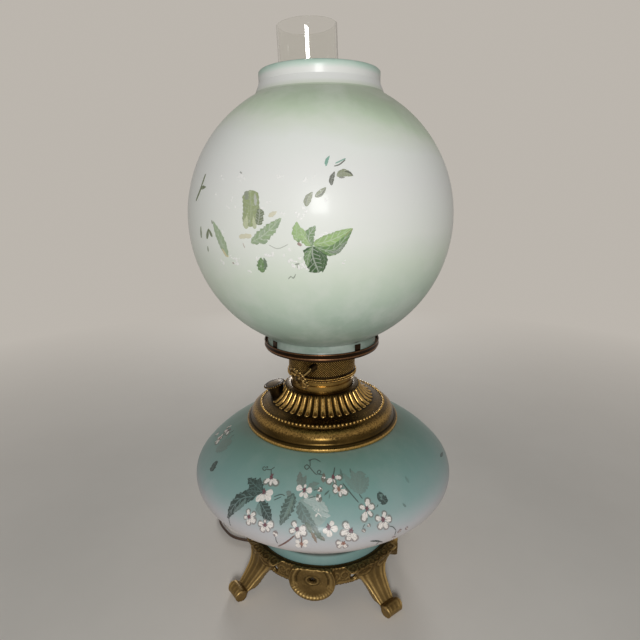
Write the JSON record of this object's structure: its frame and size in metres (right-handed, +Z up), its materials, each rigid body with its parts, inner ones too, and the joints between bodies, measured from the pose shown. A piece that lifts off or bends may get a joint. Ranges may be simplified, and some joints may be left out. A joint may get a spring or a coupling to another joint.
{
  "type": "table lamp",
  "caption": "Parlour oil lamp wired for a bulb: painted ball shade, glass chimney, lift-out font and burner in a painted glass bowl, on a cast brass foot.",
  "frame": {"origin": "on the lamp's axis, in the plane of the table under the feet", "axes": "+Z up along the lamp's axis; -Y is the foot's front medallion, which the picture shows slightly turned to its left"},
  "size_m": [0.2575, 0.3127, 0.5035],
  "materials": {
    "cast_brass": "antique satin",
    "burner_brass": "antique satin",
    "plain_brass": "polished",
    "plated_steel": "zinc plated",
    "painted_bowl_glass": "satin",
    "opal_shade_glass": "satin",
    "clear_glass": "polished",
    "cork": "matt",
    "rubber": "matt",
    "cotton": "woven",
    "cord_cover": "smooth",
    "plug_plastic": "moulded",
    "holder_plastic": "moulded",
    "filament_metal": "drawn"
  },
  "bodies": {
    "foot": {"base_casting": "cast_brass", "vase_gasket": "rubber", "vase": "painted_bowl_glass", "clamp_washer": "cork", "clamp_plate": "plated_steel", "tie_nipple": "plated_steel", "tie_nut_top": "plated_steel", "tie_nut_bottom": "plated_steel", "cord_bushing": "rubber", "cord": "cord_cover", "cord_coil": "cord_cover", "cord_tail": "cord_cover", "plug_body": "plug_plastic", "plug_blades": "plain_brass"},
    "font": {"font_tank": "plain_brass", "font_dome": "burner_brass", "draft_tube": "plain_brass", "font_collar": "plain_brass", "filler_neck": "burner_brass", "burner_neck": "burner_brass", "burner_band": "burner_brass", "burner_drum": "burner_brass", "wick_tube": "plain_brass", "chimney_gallery": "burner_brass", "gallery_prongs": "burner_brass", "key_bushing": "plain_brass", "holder_adaptor": "plain_brass", "holder_nipple": "plain_brass", "holder_nut": "plain_brass", "lampholder_body": "holder_plastic", "lampholder_shell": "plain_brass", "inner_lead": "cord_cover"},
    "wick": {"wick": "cotton", "wick_carrier": "plain_brass", "rack_rod": "plain_brass"},
    "key": {"pinion": "plain_brass", "key_shaft": "plain_brass", "wick_key": "burner_brass"},
    "filler_cap": {"filler_cap": "burner_brass", "filler_gasket": "cork"},
    "chimney": {"chimney": "clear_glass"},
    "shade_ring": {"shade_ring": "burner_brass", "shade_ring_skirt": "burner_brass", "shade_ring_tabs": "burner_brass"},
    "shade": {"shade": "opal_shade_glass"},
    "bulb": {"bulb_glass": "clear_glass", "bulb_cap": "plain_brass", "bulb_filament": "filament_metal"}
  },
  "joints": [
    {"name": "font_lift", "type": "slide", "parent": "foot", "child": "font", "axis": [0, 0, 1], "range_m": [0, 0.085]},
    {"name": "key_turn", "type": "hinge", "parent": "font", "child": "key", "pos_m": [0.00103, -0.02671, 0.22331], "axis": [0.6296, 0.6519, 0.4226], "range_deg": [0, 346]},
    {"name": "wick_raise", "type": "slide", "parent": "font", "child": "wick", "axis": [0, 0, 1], "range_m": [0, 0.01998]},
    {"name": "filler_cap_lift", "type": "slide", "parent": "font", "child": "filler_cap", "axis": [-0.273, -0.0384, 0.9613], "range_m": [0, 0.025]},
    {"name": "chimney_lift", "type": "slide", "parent": "font", "child": "chimney", "axis": [0, 0, 1], "range_m": [0, 0.25]},
    {"name": "shade_ring_lift", "type": "slide", "parent": "font", "child": "shade_ring", "axis": [0, 0, 1], "range_m": [0, 0.04]},
    {"name": "shade_lift", "type": "slide", "parent": "shade_ring", "child": "shade", "axis": [0, 0, 1], "range_m": [0, 0.28]},
    {"name": "bulb_lift", "type": "slide", "parent": "font", "child": "bulb", "axis": [0, 0, 1], "range_m": [0, 0.03]}
  ],
  "couplings": [
    {"joint": "key_turn", "follows": "wick_raise", "rad_per_m": 302.1}
  ]
}
